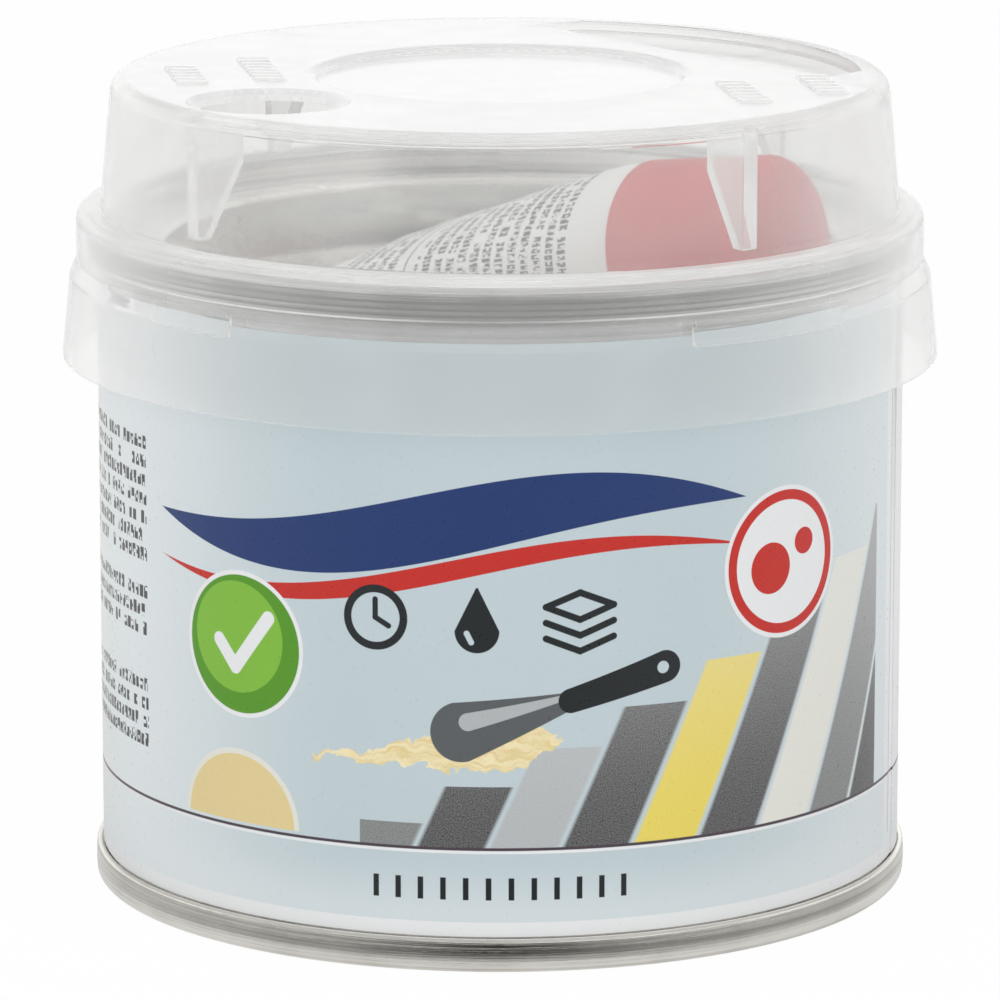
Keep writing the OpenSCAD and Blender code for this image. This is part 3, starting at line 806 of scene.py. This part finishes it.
# Cloudiness by height and by slant, with more in the shoulder, the top's steep faces, the ribs and lugs
slanted = tree.nodes.new("ShaderNodeLayerWeight")
slanted.inputs["Blend"].default_value = 0.5
faces = tree.nodes.new("ShaderNodeNewGeometry").outputs["True Normal"]
steep = spread(tree, calc(tree, "ABSOLUTE", parted(tree, faces)[2]), 0.8, 0.4)
steep_zone = within(tree, steep, top_zone, calc(tree, "SUBTRACT", 1.0, pocket_zone))
haze = spread(tree, high, shoulder_z, shoulder_z + 2.0, 0.08, 0.17)
for zone, more in (
    (spread(tree, slanted.outputs["Facing"], 0.1, 0.72), 0.42),
    (shoulder_zone, 0.06),
    (steep_zone, 0.3),
    (calc(tree, "MAXIMUM", rib_zone, lug_zone), 0.12),
):
    haze = calc(tree, "MULTIPLY_ADD", zone, more, haze)
haze = calc(tree, "MULTIPLY", haze, spread(tree, flow, 0.3, 0.7, 0.92, 1.08))
feed(tree, shader.inputs["Transmission Weight"], calc(tree, "SUBTRACT", 1.0, haze))
feed(tree, shader.inputs["Base Color"], mixed(tree, top_zone, paint(251, 251, 250), paint(254, 254, 254)))
feed(tree, shader.inputs["Roughness"], spread(tree, top_zone, 0.0, 1.0, 0.04, 0.07))
bumped(tree, shader, flow, 0.05 * MM, 0.05)

# The pocket bends light less than the rest, so that its walls stay as faint as they are
shader.inputs["IOR"].default_value = plastic_ior
feed(tree, shader.inputs["IOR"], spread(tree, pocket_zone, 0.0, 1.0, plastic_ior, pocket_ior))


def shown_as(tree, share, first, second):
    """Makes a surface one shader, and another for a share of the rays."""
    both = tree.nodes.new("ShaderNodeMixShader")
    feed(tree, both.inputs[0], share)
    tree.links.new(first.outputs[0], both.inputs[1])
    tree.links.new(second.outputs[0], both.inputs[2])
    tree.links.new(both.outputs[0], tree.nodes["Material Output"].inputs["Surface"])


rays = tree.nodes.new("ShaderNodeLightPath").outputs
passing = calc(tree, "MAXIMUM", rays["Is Shadow Ray"], rays["Is Diffuse Ray"])
open_air = tree.nodes.new("ShaderNodeBsdfTransparent")
open_air.inputs["Color"].default_value = (0.93, 0.93, 0.93, 1)
shown_as(tree, passing, shader, open_air)
dress("mixing_cap", clear_mat)

# Moulded marks on the cap's top
# Rows of low pads beside the dosing hole and the measuring pocket, moulded with the cap.
pad_long, pad_wide, pad_high, pad_sunk = 2.9 * MM, 0.95 * MM, 0.3 * MM, 0.06 * MM
pad_step, pad_slant, pad_round = 1.75 * MM, -0.3 * MM, 0.1 * MM
pad_z = mix_high.z + pad_high / 2 - pad_sunk
pads = bmesh.new()
for x, y, count in ((-28.2, -2.0, 6), (-21.6, 1.4, 8), (21.5, -11.7, 7), (28.7, -7.4, 6)):
    for k in range(count):
        row = k - (count - 1) / 2
        at = Vector((x * MM + row * pad_slant, y * MM + row * pad_step, pad_z))
        size = Matrix.Diagonal((pad_long, pad_wide, pad_high, 1))
        bmesh.ops.create_cube(pads, size=1, matrix=Matrix.Translation(at) @ size)
upper = [e for e in pads.edges if all(v.co.z > mix_high.z + pad_high / 2 for v in e.verts)]
corners = [e for e in pads.edges if abs(e.verts[0].co.z - e.verts[1].co.z) > pad_high / 2]
bmesh.ops.bevel(pads, geom=upper + corners, offset=pad_round, segments=3, affect="EDGES")
made_piece("cap_marks", pads, clear_mat, "mixing_cap", "clear_plastic")

# Floor
# A white sweep. What metal and clear plastic mirror of it is darker in front of the tin and further off,
# and pale close round its foot.
floor_half, floor_white = 3, 0.97
near_r, far_r, foot_r, pale_r = 60.0, 200.0, 39.0, 43.0
floor_mat, tree, shader = finish_named("white_sweep")
shader.inputs["Base Color"].default_value = (0.9, 0.9, 0.9, 1)
shader.inputs["Roughness"].default_value = 0.9
turn, out = round_the_axis(tree, 1.0)[::2]
aside = calc(tree, "ABSOLUTE", turn)
near_it = calc(tree, "MULTIPLY_ADD", aside, 0.27, spread(tree, aside, 0.0, 0.5, 0.0, 0.16))
far_off = spread(tree, aside, 0.2, 2.4, 0.28, 0.92)
away = spread(tree, out, near_r, far_r)
mirror = calc(tree, "MULTIPLY_ADD", away, calc(tree, "SUBTRACT", far_off, near_it), near_it)
mirror = calc(tree, "MAXIMUM", mirror, spread(tree, out, foot_r, pale_r, 0.7, 0.0))


def ray_kinds(tree):
    """Rays that see the backdrop straight or through the clear cap, and rays that a surface mirrored."""
    rays = tree.nodes.new("ShaderNodeLightPath").outputs
    mirrored = calc(tree, "GREATER_THAN", rays["Glossy Depth"], 0.5)
    straight = calc(tree, "MAXIMUM", rays["Is Camera Ray"], rays["Is Transmission Ray"])
    straight = calc(tree, "MULTIPLY", straight, calc(tree, "SUBTRACT", 1.0, mirrored))
    bounced = calc(tree, "MAXIMUM", rays["Is Glossy Ray"], rays["Is Transmission Ray"])
    return straight, calc(tree, "MULTIPLY", bounced, mirrored)


seen, mirrored = ray_kinds(tree)
white = tree.nodes.new("ShaderNodeEmission")
feed(tree, white.inputs["Strength"], calc(tree, "MAXIMUM", seen, calc(tree, "MULTIPLY", mirrored, mirror)))
white_share = calc(tree, "MULTIPLY", calc(tree, "MAXIMUM", seen, mirrored), floor_white)
shown_as(tree, white_share, shader, white)
floor_corners = [(x * floor_half, y * floor_half, 0) for x, y in ((-1, -1), (1, -1), (1, 1), (-1, 1))]
floor_mesh = bpy.data.meshes.new("floor")
floor_mesh.from_pydata(floor_corners, [], [(0, 1, 2, 3)])
floor_mesh.materials.append(floor_mat)
floor = bpy.data.objects.new("floor", floor_mesh)
scene.collection.objects.link(floor)

# Backdrop
# A white room with even soft light. What metal mirrors of it is brighter at the back, with a dark line at
# the foot of the front wall and a darker ceiling.
soft_light, front_wall, back_wall, ceiling_light, dark_line = 0.36, 0.9, 1.08, 0.58, 0.8
world = bpy.data.worlds.new("studio")
scene.world = world
world.use_nodes = True
tree = world.node_tree
sky = tree.nodes["Background"]
sky.inputs["Color"].default_value = (1, 1, 1, 1)
x, y, z = parted(tree, tree.nodes.new("ShaderNodeTexCoord").outputs["Generated"])
turn = calc(tree, "ABSOLUTE", turn_from_front(tree, x, y))
walls = spread(tree, turn, 0.5, 2.1, front_wall, back_wall)
low_wall = within(tree, spread(tree, calc(tree, "ABSOLUTE", z), 0.09, 0.03), spread(tree, turn, 0.8, 0.3))
walls = calc(tree, "MULTIPLY", walls, calc(tree, "MULTIPLY_ADD", low_wall, -dark_line, 1.0))
ceiling = spread(tree, z, 0.22, 0.5)
room = calc(tree, "MULTIPLY_ADD", ceiling, calc(tree, "SUBTRACT", ceiling_light, walls), walls)
seen, mirrored = ray_kinds(tree)
soft = calc(tree, "MULTIPLY_ADD", mirrored, calc(tree, "SUBTRACT", room, soft_light), soft_light)
feed(tree, sky.inputs["Strength"], calc(tree, "MAXIMUM", soft, seen))

# Lamps
# Three large soft lamps, at both sides and above, that metal and clear plastic don't mirror.
lamp_aim = Vector((0, 0, 0.035))
lamps = {
    "key_left": ((-0.75, -0.75, 0.6), 0.7, 5.6),
    "fill_right": ((0.8, -0.7, 0.55), 0.7, 5.0),
    "top": ((0.0, 0.1, 1.1), 0.9, 3.7),
}
for name, (at, size, watts) in lamps.items():
    lamp = bpy.data.lights.new(name, "AREA")
    lamp.size = size
    lamp.energy = watts
    holder = bpy.data.objects.new(name, lamp)
    holder.location = at
    holder.rotation_euler = (lamp_aim - Vector(at)).to_track_quat("-Z", "Y").to_euler()
    holder.visible_glossy = False
    holder.visible_transmission = False
    scene.collection.objects.link(holder)

# Camera
# At the height and distance that give the ellipses of the seams and of the cap's edge.
camera_away, camera_high, camera_dip = 0.6251, 0.1709, math.radians(12.34)
camera_data = bpy.data.cameras.new("camera")
camera_data.lens = 252.08
camera_data.sensor_width = 36
camera = bpy.data.objects.new("camera", camera_data)
camera.location = (0, -camera_away, camera_high)
camera.rotation_euler = (math.pi / 2 - camera_dip, 0, 0)
scene.collection.objects.link(camera)
scene.camera = camera
scene.view_settings.view_transform = "Standard"
